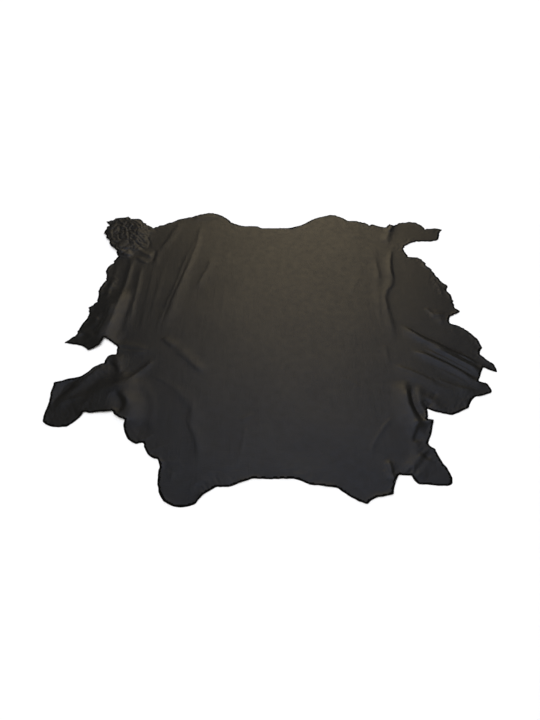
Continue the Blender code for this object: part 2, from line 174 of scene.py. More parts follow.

# The creases. Each is a small ridge with one steep side, and the places, as (across,
# along) in cm, follow the middle of that side. Columns: places, height (mm, below zero for a
# groove), left reach and right reach (cm from its crest on either hand of someone who walks along
# it). The smaller reach is the steep side.
creases = {
    # left flank
    "saddle line, outer": (
        ((-66.6, -11), (-65.8, 0.6), (-64.4, 11), (-62.5, 24), (-60.7, 34), (-57.4, 59), (-54, 80)),
        0.9, 0.5, 1.0,
    ),
    "saddle line, inner": (
        ((-64.8, -8), (-62.7, 6), (-60.4, 24), (-57.6, 39), (-54.4, 57), (-51.5, 78), (-50.2, 108)),
        1.3, 0.6, 2.2,
    ),
    "inner line": (((-47.3, 31), (-45.4, 43), (-42.4, 53), (-40.9, 63)), 0.7, 0.7, 2.0),
    "stifle line": (((-74.6, 73), (-71, 82.4), (-69.5, 89.6), (-67.6, 99)), 0.9, 0.5, 1.4),
    "stifle slit": (((-76, 73), (-76.2, 66), (-76.4, 58)), -1.9, 0.7, 1.5),
    "belly line, outer": (((-94.1, -8), (-92.4, 9), (-91.8, 25), (-90.7, 40), (-91, 62)), 1.5, 0.7, 1.5),
    "belly line, inner": (((-82.1, 1), (-83, 15), (-83.1, 31), (-83.6, 44), (-83.4, 56)), 1.2, 0.7, 1.6),
    "flank streak": (((-75.6, -8), (-75.9, 4.5), (-76, 22), (-76, 40), (-76.5, 56)), 0.6, 0.8, 1.8),
    "flank streak, second": (((-71.6, 1), (-71.2, 22), (-70.2, 40), (-69.5, 58)), 0.5, 0.8, 1.6),
    "flank streak, third": (((-87, 6), (-87.6, 22), (-87.2, 40)), 0.4, 0.7, 1.3),
    "belly line, low": (((-85, -8), (-84.4, 2), (-84.6, 14), (-85.3, 24)), 0.7, 0.8, 2.0),
    "belly ridge, hollow beside": (
        ((-88.6, -14), (-87.4, -6), (-86.2, 6), (-85.2, 18), (-84.8, 32)), -2.6, 2.6, 2.6,
    ),
    "belly foot": (((-99, -14), (-97.7, -2.3), (-96.3, 4), (-96.3, 12), (-97.4, 24)), 6.0, 1.8, 4.0),
    "flap dent": (((-107, 3), (-105, 6), (-101.6, 5.6), (-99.6, 2)), 2.6, 0.8, 1.6),
    "flap dent, low": (((-110, -11), (-106, -8), (-102, -9.4), (-100.4, -14)), 1.8, 1.4, 1.0),
    "flap line": (((-101.4, 18), (-100, 30), (-99.2, 44), (-100, 58)), 1.0, 0.8, 1.8),
    # under the crumpled shank
    "overhang, upper": (
        ((-107.6, 72.1), (-103.2, 70), (-98.4, 67.4), (-93.8, 65.7), (-89.4, 67.4)), 7.5, 3.6, 1.25,
    ),
    "overhang, lower": (((-101.3, 66.2), (-95.9, 63.6), (-91, 63.2)), 2.4, 2.0, 0.7),
    "hock diagonal": (((-91, 74.7), (-87, 70.8), (-82.8, 67.4), (-78.1, 64.1)), 2.4, 3.0, 0.8),
    "hock diagonal, second": (((-88, 64.1), (-84.3, 59.5), (-79.6, 56.8)), 1.6, 1.8, 0.7),
    # in the crumpled shank
    "curl, ring": (
        ((-101, 80), (-106.5, 86), (-108, 97), (-104.6, 101), (-100, 97.6), (-97.7, 91), (-97.3, 81)),
        -3.2, 0.6, 0.6,
    ),
    "curl, inner": (((-104.3, 86.4), (-103.1, 94.7), (-100.1, 91), (-101, 84.5)), -2.6, 0.6, 0.6),
    "curl, long": (((-97, 88), (-91.6, 81), (-87.6, 76.2), (-83, 71.5)), -3.6, 0.7, 0.7),
    "curl, middle": (((-96.8, 94.5), (-91.1, 88.1), (-86.2, 82.4), (-82.6, 77)), -3.0, 0.6, 0.7),
    "curl, short": (((-88.6, 92.5), (-84.4, 86.7), (-81.8, 80), (-82.2, 74)), -2.6, 0.6, 0.6),
    "curl, low": (((-107, 78), (-100.5, 72.9), (-95.6, 72.3), (-90.5, 76.5)), -3.4, 0.6, 0.7),
    # left foreleg and shoulder
    "shank level": (((-103, -64), (-97, -54), (-88, -41), (-82, -32)), 1.8, 5.5, 11.0),
    "bay crease": (((-86.5, -19.6), (-78, -21.2), (-68, -22.2)), 1.2, 0.6, 2.2),
    "shoulder stroke": (((-62.6, -11.5), (-58.3, -16.4), (-54.6, -19.6)), 1.2, 3.2, 1.0),
    "shoulder groove": (((-55, -21.6), (-47.3, -28.2), (-42, -33.6), (-37.5, -39.4)), 0.9, 3.2, 1.1),
    "elbow line": (((-76.4, -43.4), (-71.8, -37.5), (-68.6, -33.6), (-64.8, -27.8)), 1.2, 0.7, 1.9),
    "elbow line, second": (((-80.5, -41), (-77.4, -35.5), (-74.2, -30.5)), 0.6, 0.7, 1.6),
    "forequarter line": (((-65, -39.2), (-57.8, -44), (-52.6, -48.4), (-47.5, -53)), 0.6, 2.2, 0.8),
    "neck line, left": (
        ((-36.2, -97), (-36.7, -88), (-38.6, -79), (-42, -72), (-41.7, -62), (-43, -53.5)), 0.8, 0.9, 2.4,
    ),
    "shank root": (((-87, -24.5), (-84, -32.3), (-81.6, -39)), 1.8, 2.6, 1.4),
    "shank hollow": (
        ((-80.8, -50.2), (-78.3, -52.7), (-76.1, -56.3), (-74.7, -59.8), (-75.1, -62.9), (-77, -66)),
        -4.6, 1.3, 4.2,
    ),
    "shank hollow, lip": (((-79, -52), (-75, -57), (-73.4, -62)), 1.6, 2.6, 1.0),
    "shank roll": (
        ((-106.9, -51.7), (-103.7, -46.2), (-99.9, -42.2), (-96.3, -37.3), (-93.7, -33.9), (-90, -29)),
        -6.0, 3.4, 1.0,
    ),
    "shank roll, inner": (
        ((-109.9, -59.8), (-107.9, -55.1), (-104.6, -50.2), (-99.9, -46.5)), -2.4, 2.6, 1.0,
    ),
    "shank top": (((-89, -28.9), (-85.7, -30.9), (-82.6, -34.9), (-81.5, -40.1)), -2.6, 1.0, 3.0),
    "shank root, hollow beside": (
        ((-64.8, -80), (-64.2, -70), (-64.2, -61), (-67.4, -52), (-72.4, -45)), -3.0, 3.5, 3.5,
    ),
    "shank fold": (((-109, -60), (-103, -56), (-96, -53)), 1.2, 1.0, 2.2),
    "lobe line": (((-54.4, -92.8), (-48.3, -92.9), (-42, -93.3)), 0.8, 0.6, 1.5),
    "lobe dent": (((-37.5, -110.5), (-34, -104.8), (-29, -104.7)), 0.8, 1.4, 0.9),
    "lobe spot": (((-47.6, -103.6), (-47.1, -101.4), (-46.6, -99)), 0.9, 0.8, 1.4),
    "scallop line": (((-64.4, -81.6), (-61.7, -80.2), (-57.6, -77.8)), 0.8, 0.5, 1.0),
    "scallop line, second": (((-58.4, -88.2), (-54.2, -85), (-50, -83.6)), 0.6, 0.5, 1.0),
    "scallop line, third": (((-70.4, -73.4), (-67.6, -75.6), (-65.8, -79)), 0.6, 1.2, 0.6),
    # right flank
    "rib crease, upper": (
        ((72.8, 38), (72.8, 48), (73.8, 58), (75, 65), (76.6, 73)), 2.4, 1.9, 0.7,
    ),
    "rib crease, kink": (
        ((65.4, 10), (65.8, 18), (65.9, 24), (68.1, 30.5), (71.6, 35.6), (72.8, 44)), 1.0, 1.8, 0.6,
    ),
    "rib crease, lower": (((67, -11), (66.5, 2), (65.9, 12), (65.8, 21)), 0.4, 1.6, 0.6),
    "rib crease, beside": (((64.9, 40), (64.8, 51.4), (65.2, 63)), 0.9, 2.0, 0.8),
    "rib crease, faint": (((61.5, -10), (60.6, 8), (61.8, 22), (64, 34)), 0.6, 1.6, 0.7),
    "loin line": (((46, 27), (49.2, 35.2), (53, 44.2)), 0.7, 2.0, 0.8),
    "rump notch line": (((77.2, 92), (78.4, 94.4), (79.9, 97), (81.2, 103)), 3.4, 1.8, 0.9),
    "belly dent": (((86.5, 14), (88, 11.4), (89.4, 8), (90, 4.5)), 1.4, 1.4, 0.8),
    "bay line, right": (((88, 9.6), (94, 9), (101, 9.4)), 1.2, 0.6, 2.2),
    "belly line, right": (((96.4, 44), (99.4, 34), (100, 24)), 0.7, 0.8, 1.4),
    # right foreleg and shoulder
    "armpit crease, first": (
        ((69.5, 0.5), (71.8, -1.3), (79.9, -9.5), (85.7, -14), (93, -20.8), (101.6, -26.5), (109, -33)),
        3.2, 0.6, 1.8,
    ),
    "armpit crease, beside": (
        ((76, -8.6), (84, -15), (92, -21.8), (100.5, -28.6), (107, -34)), 2.2, 0.5, 1.1,
    ),
    "armpit crease, low": (((84, -12.6), (92, -18.6), (99, -24.4), (106, -30)), 1.3, 0.5, 1.0),
    "armpit crease, between": (((86, -18.6), (93, -24.6), (100, -30.4), (108.5, -36.6)), 2.0, 0.5, 1.0),
    "armpit crease, second": (((83, -16), (91, -23), (97.6, -29), (107.5, -37)), 2.6, 0.6, 1.5),
    "armpit crease, thin": (((80, -19), (89, -26), (97, -33), (105, -40.4)), 1.8, 0.5, 1.0),
    "armpit crease, third": (
        ((73, -20.4), (82.4, -25.4), (91.7, -32), (98.6, -38.5), (104, -44)), 3.2, 0.6, 1.7,
    ),
    "armpit crease, fourth": (((62, -31), (71, -36.3), (77, -40.6), (84, -45.6)), 1.7, 0.7, 2.0),
    "armpit crease, fifth": (((84, -34), (92, -40), (99, -46.4)), 1.2, 0.6, 1.4),
    "fore shank line": (((82, -41), (91, -46.6), (101, -50)), 1.2, 0.6, 1.5),
    "shoulder crease": (
        ((71.2, -71.5), (69.6, -68.2), (68.3, -64.4), (67.3, -59.7), (66.8, -55), (67.2, -49)),
        5.0, 1.8, 1.3,
    ),
    "shoulder valley": (
        ((68.6, -49), (68.4, -55), (68.9, -59.7), (69.9, -64.4), (71.2, -68.6)), -5.0, 1.2, 1.3,
    ),
    "shoulder line, inner": (((66.4, -62.4), (65, -55), (65.3, -48)), -1.2, 0.7, 0.7),
    "shoulder shade": (((61.1, -33), (60.4, -25.1), (60.7, -15.6)), 0.8, 2.0, 0.9),
    "shoulder line": (((34, -39.7), (39.6, -43.9), (44.2, -48.7)), 0.6, 0.7, 2.0),
    "elbow curl": (((73.7, -56), (75.7, -57.5), (77.3, -60.2)), -1.6, 0.6, 1.6),
    "elbow curl, second": (((72.8, -56.9), (74.1, -59.4), (75.9, -61.5)), -1.8, 0.6, 1.6),
    "elbow curl, third": (((71.4, -60.2), (71.8, -63.3), (72.4, -66.9)), -1.6, 0.6, 1.6),
    "elbow spot": (((81.4, -51.5), (79.9, -54.1), (77.4, -56.2)), -1.3, 0.7, 2.0),
    "tuck": (((65.8, -72.8), (69.5, -71.9), (72.6, -71.9), (78, -71.6)), 4.6, 1.6, 1.5),
    "tuck, lower": (((68.2, -71.6), (66.5, -75.8), (64.8, -79.2), (63.6, -82.9)), -3.4, 2.8, 0.9),
    "throat crease, inner": (
        ((57.6, -101), (59.6, -98), (62.5, -93.8), (65.4, -89.8), (69, -85)), -3.2, 0.8, 1.6,
    ),
    "throat crease, outer": (
        ((59.6, -101.4), (61.2, -99.1), (64.5, -94.9), (67.8, -90.7), (71.5, -86)), -3.6, 0.8, 1.6,
    ),
    "throat crest": (((60.2, -98.8), (64, -93.4), (66.9, -89.8), (69.7, -86.6)), 3.4, 0.9, 0.6),
    "throat shade": (((62.6, -103.6), (65, -99.1), (67.8, -94.7), (70.6, -91)), 4.0, 4.5, 2.6),
    "throat knot": (((53.2, -106), (51.9, -98.9), (51.5, -92)), 3.8, 1.6, 0.9),
    "neck line, right": (
        ((43.1, -91.2), (44.8, -85.7), (48.3, -79.2), (53, -72.4), (57.7, -66.6)), 1.1, 1.0, 0.5,
    ),
    "neck line, upper": (((64.6, -77), (62.7, -69.4), (61.2, -64.4)), 0.9, 0.9, 2.0),
    "neck dent, right": (((50.2, -103.6), (49.2, -99.7), (48.2, -97.4)), 2.0, 1.0, 0.8),
    # neck
    "neck wrinkle": (((-13.5, -72), (-15, -85), (-17, -95)), 1.0, 0.6, 1.2),
    "neck wrinkle, short": (((-17.5, -69.2), (-14, -66.8), (-10.5, -64.8)), 0.8, 0.5, 1.2),
}


# Rises from 0 to 1, level at both ends
def eased(share):
    share = np.clip(share, 0.0, 1.0)
    return share * share * (3.0 - 2.0 * share)


# Where each thing cuts through the noise; another number gives it another pattern
patterns = {
    "grooves": 2.0,
    "curl": (11.0, 13.0),
    "wander": 21.0,
    "unevenness": 31.0,
    "swells": 41.0,
    "ruffle": 51.0,
    "puckered patches": 61.0,
    "lumps": 65.0,
    "puckers": 71.0,
    "knife": 81.0,
}


# Smooth noise between about -1 and 1
def noiseAt(points, wave, pattern):
    return np.array([noise.noise(Vector((x / wave, y / wave, pattern))) for x, y in points])


def weldedCopy(node):
    copy = bmesh.new()
    copy.from_mesh(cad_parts[node].data)
    bmesh.ops.remove_doubles(copy, verts=copy.verts, dist=hide["weld"] * mm)
    copy.faces.ensure_lookup_table()
    return copy


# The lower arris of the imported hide's rim, walked round once
def packedEdge(packed):
    thin = 2.0 * hide["thickness"] * mm  # every triangle of the rim has a side shorter than this
    rim = {face.index for face in packed.faces if min(edge.calc_length() for edge in face.edges) < thin}
    beside = {}
    for edge in packed.edges:
        others = [face for face in edge.link_faces if face.index not in rim]
        if len(others) == 1 and others[0].normal.z < 0.0:
            first, second = edge.verts
            beside.setdefault(first, []).append(second)
            beside.setdefault(second, []).append(first)
    start = min(beside, key=lambda corner: corner.co.y)
    walked = [start]
    before, here = start, beside[start][0]
    while here is not start:
        walked.append(here)
        before, here = here, next(corner for corner in beside[here] if corner is not before)
    return np.array([corner.co.xy for corner in walked])


# A smooth line through the places, with points about one step apart
def smoothLine(places, step, closed=False):
    given = np.array(places, float)
    if closed:
        through = np.vstack((given[-1:], given, given[:2]))
    else:
        through = np.vstack((2.0 * given[0] - given[1], given, 2.0 * given[-1] - given[-2]))
    line = []
    for before, start, stop, after in zip(through, through[1:], through[2:], through[3:]):
        pieces = max(1, round(np.linalg.norm(stop - start) / step))
        for share in np.arange(pieces) / pieces:
            slopes = (stop - before) * share + (2.0 * before - 5.0 * start + 4.0 * stop - after) * share**2
            line.append(start + 0.5 * (slopes + (3.0 * start - before - 3.0 * stop + after) * share**3))
    if not closed:
        line.append(given[-1])
    return np.array(line)


# For each point: how far along the line its nearest place is, as a share, and how far to the left
def alongAndAside(points, line):
    starts = line[:-1]
    runs = line[1:] - starts
    lengths = np.linalg.norm(runs, axis=1)
    away = points[:, None, :] - starts[None, :, :]
    share = np.clip((away * runs).sum(axis=2) / lengths**2, 0.0, 1.0)
    gap = away - share[..., None] * runs
    distance = np.linalg.norm(gap, axis=2)
    nearest = distance.argmin(axis=1)
    pick = np.arange(len(points)), nearest
    side = runs[nearest, 0] * gap[pick][:, 1] - runs[nearest, 1] * gap[pick][:, 0]
    before = np.concatenate(((0.0,), np.cumsum(lengths)))
    along = (before[nearest] + share[pick] * lengths[nearest]) / before[-1]
    return along, np.where(side >= 0.0, distance[pick], -distance[pick])


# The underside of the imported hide, sounded on a grid and smoothed
class Soundings:
    room = 4.0  # steps past the hide on every side
    reach = 3.0  # softnesses beyond which a sounding no longer counts
    least = 0.001  # keeps the shares above zero and the places short of the grid's end

    def __init__(self, packed, low, high):
        self.step = hide["soundStep"] * mm
        margin = self.room * self.step
        self.corner = np.array((low.x - margin, low.y - margin))
        across = np.arange(self.corner[0], high.x + margin, self.step)
        along = np.arange(self.corner[1], high.y + margin, self.step)
        tree = BVHTree.FromBMesh(packed)
        under = low.z - margin
        up = Vector((0.0, 0.0, 1.0))
        self.heights = np.zeros((len(along), len(across)))
        self.found = np.zeros_like(self.heights)
        for row, y in enumerate(along):
            for column, x in enumerate(across):
                hit = tree.ray_cast(Vector((x, y, under)), up)[0]
                if hit:
                    self.heights[row, column] = hit.z
                    self.found[row, column] = 1.0

    def smoothed(self, softness):
        spread = softness * mm / self.step
        reach = math.ceil(self.reach * spread)
        weights = np.exp(-0.5 * (np.arange(-reach, reach + 1) / spread) ** 2)

        def blurred(grid):
            for axis in (0, 1):
                grid = np.apply_along_axis(np.convolve, axis, grid, weights, "same")
            return grid

        return blurred(self.heights * self.found) / np.maximum(blurred(self.found), self.least)

    def at(self, grid, points):
        places = (points - self.corner) / self.step
        column, row = np.clip(places, 0.0, np.array(grid.shape[::-1]) - 1.0 - self.least).T
        left, low = column.astype(int), row.astype(int)
        u, v = column - left, row - low
        lower = grid[low, left] * (1.0 - u) + grid[low, left + 1] * u
        upper = grid[low + 1, left] * (1.0 - u) + grid[low + 1, left + 1] * u
        return lower * (1.0 - v) + upper * v


# How far inside an oval area the points are: 0 outside, 1 in the middle
def areaShare(points, area):
    away = (points / cm - np.array(area["middle"])) / np.array(area["reach"])
    return eased((1.0 - np.linalg.norm(away, axis=1)) / area["fading"])


# Rounded curls parted by narrow grooves, which lie where a twisted noise crosses zero
def crumpleHeights(points):
    share = areaShare(points, crumple)
    heights = np.zeros(len(points))
    inCrumple = share > 0.0
    places = points[inCrumple] / cm / np.array(crumple["spacing"])
    curl = np.column_stack([noiseAt(places, crumple["bend"], pattern) for pattern in patterns["curl"]])
    gap = crumple["narrowness"] * noiseAt(places + crumple["twist"] * curl, 1.0, patterns["grooves"])
    heights[inCrumple] = share[inCrumple] * crumple["depth"] * mm * (1.0 - np.exp(-gap * gap))
    return heights


# Heights, and how near the nearest crease is, in its own widths
def creaseHeights(points):
    heights = np.zeros(len(points))
    nearness = np.full(len(points), np.inf)
    wander = noiseAt(points, creaseShape["wanderWave"] * cm, patterns["wander"]) * creaseShape["wander"] * mm
    unevenness = noiseAt(points, creaseShape["unevenWave"] * cm, patterns["unevenness"])
    strength = 1.0 + creaseShape["uneven"] * unevenness
    for places, height, leftReach, rightReach in creases.values():
        line = smoothLine(places, creaseShape["step"]) * cm
        room = creaseShape["room"] * max(leftReach, rightReach) * cm
        near = np.flatnonzero(
            (points > line.min(axis=0) - room).all(axis=1) & (points < line.max(axis=0) + room).all(axis=1)
        )
        along, aside = alongAndAside(points[near], line)
        lean = creaseShape["lean"] * min(leftReach, rightReach) * np.sign(leftReach - rightReach) * cm
        aside = aside + wander[near] - lean
        q = aside / (np.where(aside > 0.0, leftReach, rightReach) * cm)
        ends = eased(np.minimum(along, 1.0 - along) / creaseShape["fade"])
        heights[near] += height * mm * ends * strength[near] * np.exp(-(q**2))
        nearness[near] = np.minimum(nearness[near], np.abs(q))
    return heights, nearness


# Soft lumps of the loose belly flap
def lumpHeights(points):
    lump = lumps["rise"] + noiseAt(points, lumps["wave"] * cm, patterns["lumps"])
    return areaShare(points, lumps) * lumps["height"] * mm * lump


# Slanting ridges in the thin skin near the edge, in patches
def puckerHeights(points, edgeDistance):
    share = eased(1.0 - edgeDistance / (puckers["width"] * cm))
    patches = noiseAt(points, puckers["patches"] * cm, patterns["puckered patches"])
    patch = eased(0.5 + puckers["patchiness"] * patches)
    slant = math.radians(puckers["slant"])
    outwards = np.abs(points[:, 0]) * math.cos(slant) - points[:, 1] * math.sin(slant)
    onwards = np.abs(points[:, 0]) * math.sin(slant) + points[:, 1] * math.cos(slant)
    places = np.column_stack((outwards, onwards)) / cm / np.array(puckers["spacing"])
    gap = puckers["narrowness"] * noiseAt(places, 1.0, patterns["puckers"])
    return puckers["depth"] * mm * share * patch * np.exp(-gap * gap)


def swellHeights(points):
    layers = range(len(swells))
    return sum(
        0.5 * height * mm * (1.0 + noiseAt(points, wave * cm, patterns["swells"] + layer))
        for layer, (wave, height) in zip(layers, swells)
    )


def ruffleHeights(points, edgeDistance, edgePlaces):
    waves = noiseAt(edgePlaces, ruffle["wave"] * cm, patterns["ruffle"])
    lift = np.clip(ruffle["lifted"] + ruffle["patchiness"] * waves, 0.0, 1.0)
    return ruffle["height"] * mm * lift * np.clip(1.0 - edgeDistance / (ruffle["width"] * cm), 0.0, 1.0) ** 2


# Staggered rows of points inside the outline
def rowsInside(outline, step):
    low, high = outline.min(axis=0), outline.max(axis=0)
    ends = np.roll(outline, -1, axis=0)
    rows = []
    rowGap = step * math.sqrt(0.75)  # as in an even triangular grid
    for row, y in enumerate(np.arange(low[1], high[1], rowGap)):
        crosses = (outline[:, 1] > y) != (ends[:, 1] > y)
        start, stop = outline[crosses], ends[crosses]
        slant = (stop[:, 0] - start[:, 0]) / (stop[:, 1] - start[:, 1])
        at = np.sort(start[:, 0] + (y - start[:, 1]) * slant)
        across = np.arange(low[0] + 0.5 * step * (row % 2), high[0], step)
        across = across[np.searchsorted(at, across) % 2 == 1]
        rows.append(np.column_stack((across, np.full(len(across), y))))
    return np.vstack(rows)


def treeOf(points):
    tree = KDTree(len(points))
    for index, (x, y) in enumerate(points):
        tree.insert((x, y, 0.0), index)
    tree.balance()
    return tree


# Distance to the nearest of a tree's points, and that point's place
def nearestIn(tree, points):
    found = [tree.find((x, y, 0.0)) for x, y in points]
    return np.array([each[2] for each in found]), np.array([each[0].xy for each in found]).reshape(-1, 2)


# The outline that the knife left
def cutOutline(corners):
    outline = smoothLine(corners, hide["edgeStep"] * mm, closed=True)
    thin = np.interp(np.abs(outline[:, 0]) / cm, thinSkin, (0.0, 1.0))
    hind = np.interp(outline[:, 1] / cm, hindPart, (0.0, 1.0))
    ragged = evenKnife + (1.0 - evenKnife) * thin * hind
    ragged = (ragged * (1.0 + (crumpleKnife - 1.0) * areaShare(outline, crumple)))[:, None]
    for layer, (aside, wave) in enumerate(knife):
        # each layer takes two patterns, one for each axis
        wander = [noiseAt(outline, wave * mm, patterns["knife"] + 2.0 * layer + axis) for axis in (0, 1)]
        outline = outline + ragged * aside * mm * np.column_stack(wander)
    return outline


# Close points along the edge and in the folds, far ones where the hide lies flat
def sheetPoints(outline, edgeTree, soundings, steepness):
    fineStep, openStep = hide["foldStep"] * mm, hide["openStep"] * mm
    fine = rowsInside(outline, fineStep)
    edgeDistance, _ = nearestIn(edgeTree, fine)
    folded = (
        (soundings.at(steepness, fine) > hide["foldSlope"])
        | (areaShare(fine, crumple) > 0.0)
        | (creaseHeights(fine)[1] < hide["creaseRoom"])
        | (edgeDistance < hide["edgeRoom"] * mm)
    )
    fine = fine[folded & (edgeDistance > hide["clearance"] * fineStep)]
    wide = rowsInside(outline, openStep)
    fromFine, _ = nearestIn(treeOf(fine), wide)
    fromEdge, _ = nearestIn(edgeTree, wide)
    wide = wide[(fromFine > hide["clearance"] * openStep) & (fromEdge > hide["edgeRoom"] * mm)]
    return np.vstack((outline, fine, wide))


# The order of the sheet's materials
grainSlot, cutSlot, fleshSlot, edgeShadeSlot = range(4)


# Thickness, which falls off towards the cut
def thicken(sheet, edgeDistance):
    solidify = sheet.modifiers.new("thickness", "SOLIDIFY")
    solidify.thickness = hide["thickness"] * mm
    solidify.offset = 1.0  # upwards, so that the underside stays where it is
    fullness = sheet.vertex_groups.new(name="fullness")
    for index, distance in enumerate(edgeDistance):
        fullness.add([index], min(1.0, distance / (hide["skive"] * mm)), "REPLACE")
    solidify.vertex_group = "fullness"
    solidify.thickness_vertex_group = hide["edgeThickness"]
    solidify.material_offset_rim = cutSlot
    solidify.material_offset = fleshSlot
    bpy.context.view_layer.update()
    solid = bpy.data.meshes.new_from_object(sheet.evaluated_get(bpy.context.evaluated_depsgraph_get()))
    sheet.modifiers.clear()
    sheet.data = solid
    solid.shade_smooth()
    solid.set_sharp_from_angle(angle=math.radians(hide["hardEdge"]))


# The grain side's last faces before the cut get a black material: painted shade along the edge
def paintEdgeShade(solid):
    fromEdge = solid.attributes["edgeDistance"].data
    # painted shade: these faces take the black rim material
    for face in solid.polygons:
        inEdgeShade = min(fromEdge[corner].value for corner in face.vertices) < hide["edgeShadeWidth"] * mm
        if face.material_index == grainSlot and inEdgeShade:
            face.material_index = edgeShadeSlot


def makeSheet():
    packed = weldedCopy("hide")
    corners = packedEdge(packed)
    print("cut edge walked,", len(corners), "corners")
    outline = cutOutline(corners)

    soundings = Soundings(packed, *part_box("hide"))
    soft = soundings.smoothed(hide["softness"])
    crisp = soundings.smoothed(hide["crumpleSoftness"])
    broad = soundings.smoothed(hide["surroundings"])
    steepness = np.hypot(*np.gradient(soft, soundings.step))
    packed.free()
    print("packed hide sounded")

    edgeTree = treeOf(outline)
    places = sheetPoints(outline, edgeTree, soundings, steepness)
    print("points set,", len(places))

    rim = [(index, (index + 1) % len(outline)) for index in range(len(outline))]
    flat, _, faces, *_ = delaunay_2d_cdt([Vector(place) for place in places], rim, [], 1, hide["weld"] * mm)
    points = np.array([tuple(place) for place in flat])
    print("sheet meshed,", len(faces), "triangles")

    share = areaShare(points, crumple)
    edgeDistance, edgePlaces = nearestIn(edgeTree, points)
    heights = (
        soundings.at(soft, points) * (1.0 - share)
        + soundings.at(crisp, points) * share
        + crumpleHeights(points)
        + creaseHeights(points)[0]
        + puckerHeights(points, edgeDistance)
        + lumpHeights(points)
        + swellHeights(points)
        + ruffleHeights(points, edgeDistance, edgePlaces)
    )
    heights = np.maximum(heights, 0.0)

    mesh = bpy.data.meshes.new("hide_sheet")
    mesh.from_pydata(np.column_stack((points, heights)).tolist(), [], faces)
    sheet = bpy.data.objects.new("hide_sheet", mesh)
    bpy.context.scene.collection.objects.link(sheet)
    rubbed = np.clip((heights - soundings.at(broad, points)) / (hide["rubbedRise"] * mm), 0.0, 1.0)
    # Painted shade: the grain side is darkened towards the cut, in place of the shadow along the edge
    paintedEdgeShade = eased(1.0 - edgeDistance / (leather["edgeWidth"] * mm))
    # The crumpled shank is painted darker as well, as the shade in its folds, and made rougher
    shadeAndDullness = np.maximum(paintedEdgeShade, leather["crushed"] * share)
    for name, values in (("rubbed", rubbed), ("shadeAndDullness", shadeAndDullness), ("edgeDistance", edgeDistance)):
        mesh.attributes.new(name, "FLOAT", "POINT").data.foreach_set("value", values.astype(np.float32))
    for material in (grainLeather(), cutLeather(), fleshLeather(), edgeShadeLeather()):
        mesh.materials.append(material)

    thicken(sheet, edgeDistance)
    paintEdgeShade(sheet.data)
    print("sheet thickened,", len(sheet.data.polygons), "faces")
    return sheet


# Materials

def hexColour(text):
    values = [int(text[place:place + 2], 16) / 255.0 for place in (1, 3, 5)]
    linear = [value / 12.92 if value <= 0.04045 else ((value + 0.055) / 1.055) ** 2.4 for value in values]
    return (*linear, 1.0)


# Texture scale that gives features of this size
def perMetre(size):
    return 1.0 / (size * mm)


# Sockets go by name or number. In a colour mix 0 is the share of the second colour, 6 is the first
# colour and 7 the second, and the mixed colour comes out of 2.
def addNode(tree, kind, values=None, links=None, **settings):
    node = tree.nodes.new(kind)
    for name, value in settings.items():
        setattr(node, name, value)
    for name, value in (values or {}).items():
        node.inputs[name].default_value = value
    for name, socket in (links or {}).items():
        tree.links.new(socket, node.inputs[name])
    return node


def newMaterial(name, values):
    material = bpy.data.materials.new(name)
    material.use_nodes = True
    tree = material.node_tree
    shader = tree.nodes["Principled BSDF"]
    for socket, value in values.items():
        shader.inputs[socket].default_value = value
    return material, tree, shader


# Full-grain cowhide, drum dyed black right through, with a thin rolled-on wax finish. The finish
# gives the broad satin sheen. The dye takes unevenly, so the black turns brown in clouds.
leather = {
    "dye": "#0d0d0c",
    "thinDye": "#141310",  # where the skin took less dye
    "rubbed": "#191815",  # crests that have been handled
    "polish": 0.06,  # by which handling has made them smoother
    "paintedEdgeShade": "#060606",  # painted shade beside the cut, which is also made duller
    "edgeWidth": 11.0,  # mm of painted shade in from the cut
    "crushed": 0.3,  # how much of the edge's painted shade and dullness the crumpled shank gets, as the shade in its folds
    "dullness": 0.32,  # how much rougher the edge with painted shade is
    "ior": 1.5,
    "roughness": 0.44,
    "unevenness": 0.04,  # by which the roughness varies from mottle to mottle
    "clouds": 260.0,  # mm
    "cloudLevels": (0.35, 0.68),  # of their noise, where the black starts to thin and where it has
    "mottle": 38.0,  # mm
    "mottleLevels": (0.3, 0.7),  # of its noise, lowest and highest
    "grain": 7.0,  # mm; real pebbles are 1 mm apart, drawn coarser so that they show
    "grainDepth": 0.16,  # mm
    "pores": 3.0,  # mm; real hair pores are 0.3 mm apart, drawn coarser so that they show
    "streaks": 24.0,  # mm between the long faint wrinkles that run from rump to neck
    "streakLength": 6.0,  # times their width
    "streakDepth": 0.8,  # mm
    "streakPatches": 170.0,  # mm between the places where they show
    "streakLeast": 0.15,  # share of their depth that is left elsewhere
    "wrinkles": 15.0,  # mm between the growth wrinkles of the neck
    "wrinkleLength": 4.5,  # times their width
    "wrinkleDepth": 0.5,  # mm
    "neckReach": (-0.55, -1.0),  # metres along the backbone where they start and where they are deepest
    "waviness": 0.7,  # of streaks and wrinkles
}


# The dye's clouds, browner where the hide has been handled, with painted shade in black beside the cut and
# over the crumpled shank
def grainColour(tree, place, mottle, rubbed, shadeAndDullness):
    clouds = addNode(
        tree, "ShaderNodeTexNoise", {"Scale": perMetre(leather["clouds"]), "Detail": 3.0}, {"Vector": place}
    ).outputs["Fac"]
    cloudShare = addNode(
        tree, "ShaderNodeMapRange",
        {"From Min": leather["cloudLevels"][0], "From Max": leather["cloudLevels"][1]}, {"Value": clouds},
    ).outputs["Result"]
    dyed = addNode(
        tree, "ShaderNodeMix", {6: hexColour(leather["dye"]), 7: hexColour(leather["thinDye"])},
        {0: cloudShare}, data_type="RGBA",
    ).outputs[2]
    rubbedShare = addNode(
        tree, "ShaderNodeMath", links={0: rubbed, 1: mottle}, operation="MULTIPLY"
    ).outputs[0]
    handled = addNode(
        tree, "ShaderNodeMix", {7: hexColour(leather["rubbed"])}, {0: rubbedShare, 6: dyed}, data_type="RGBA"
    ).outputs[2]
    return addNode(
        tree, "ShaderNodeMix", {7: hexColour(leather["paintedEdgeShade"])}, {0: shadeAndDullness, 6: handled}, data_type="RGBA"
    ).outputs[2]
